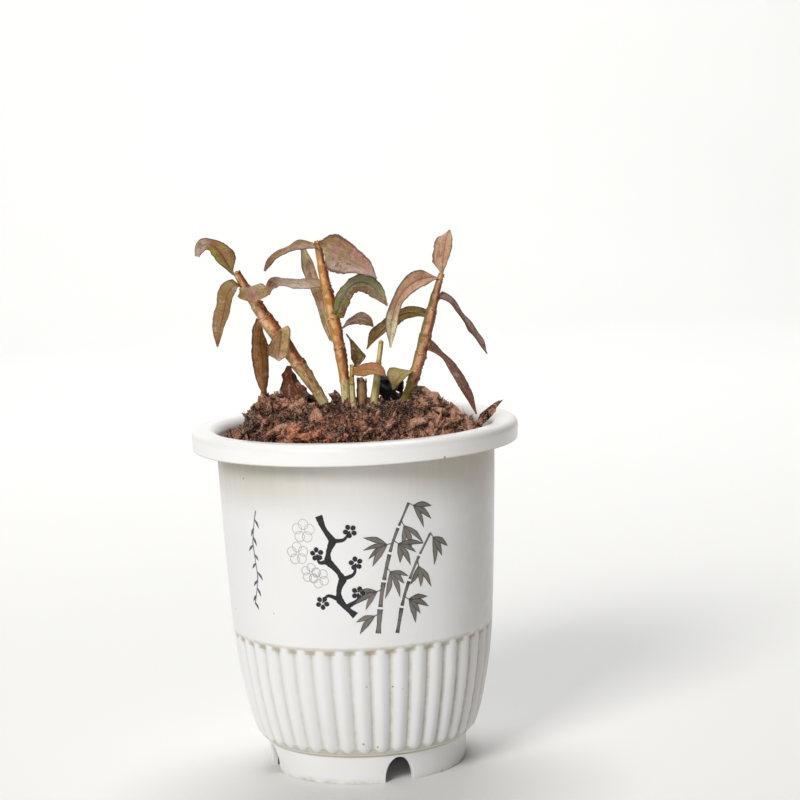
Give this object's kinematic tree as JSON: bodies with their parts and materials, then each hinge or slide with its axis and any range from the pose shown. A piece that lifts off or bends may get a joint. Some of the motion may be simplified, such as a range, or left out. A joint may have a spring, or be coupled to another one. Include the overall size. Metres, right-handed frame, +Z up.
{
  "type": "potted dendrobium officinale",
  "caption": "Dendrobium orchid with leaning leafy canes in bark, in a white plastic pot with a ribbed lower wall and a notched foot.",
  "frame": {"origin": "centre of the pot's foot ring, on the surface that the pot stands on", "axes": "+Z up along the pot's axis; the front seen in the picture faces -Y, and +X is to the right of that view"},
  "size_m": [0.14, 0.14, 0.2294],
  "materials": {
    "pot": "satin",
    "substrate": "matte",
    "cane": "satin",
    "shoot": "satin",
    "stump": "matte",
    "leaf_olive": "satin",
    "leaf_tan": "satin",
    "leaf_grey_green": "satin",
    "leaf_brown": "satin",
    "leaf_dead": "matte",
    "leaf_green": "satin"
  },
  "bodies": {
    "root": {"pot": "pot", "substrate": "substrate", "cane_left": "cane", "cane_centre": "cane", "cane_right": "cane", "shoot_front": "shoot", "shoot_right": "shoot", "stump": "stump", "left_top_leaf": "leaf_olive", "left_hanging_leaf": "leaf_olive", "right_narrow_leaf": "leaf_olive", "right_folded_leaf": "leaf_olive", "left_short_leaf": "leaf_tan", "left_front_leaf": "leaf_tan", "centre_broad_leaf": "leaf_tan", "centre_left_leaf": "leaf_tan", "centre_pale_leaf": "leaf_tan", "right_top_leaf": "leaf_tan", "right_arching_leaf": "leaf_tan", "centre_upright_leaf": "leaf_grey_green", "centre_arching_leaf": "leaf_grey_green", "left_brown_leaf": "leaf_brown", "centre_small_leaf": "leaf_brown", "shoot_pink_leaf": "leaf_brown", "right_upper_leaf": "leaf_brown", "right_lower_leaf": "leaf_brown", "left_dead_leaf": "leaf_dead", "shoot_green_leaf": "leaf_green"}
  },
  "joints": []
}
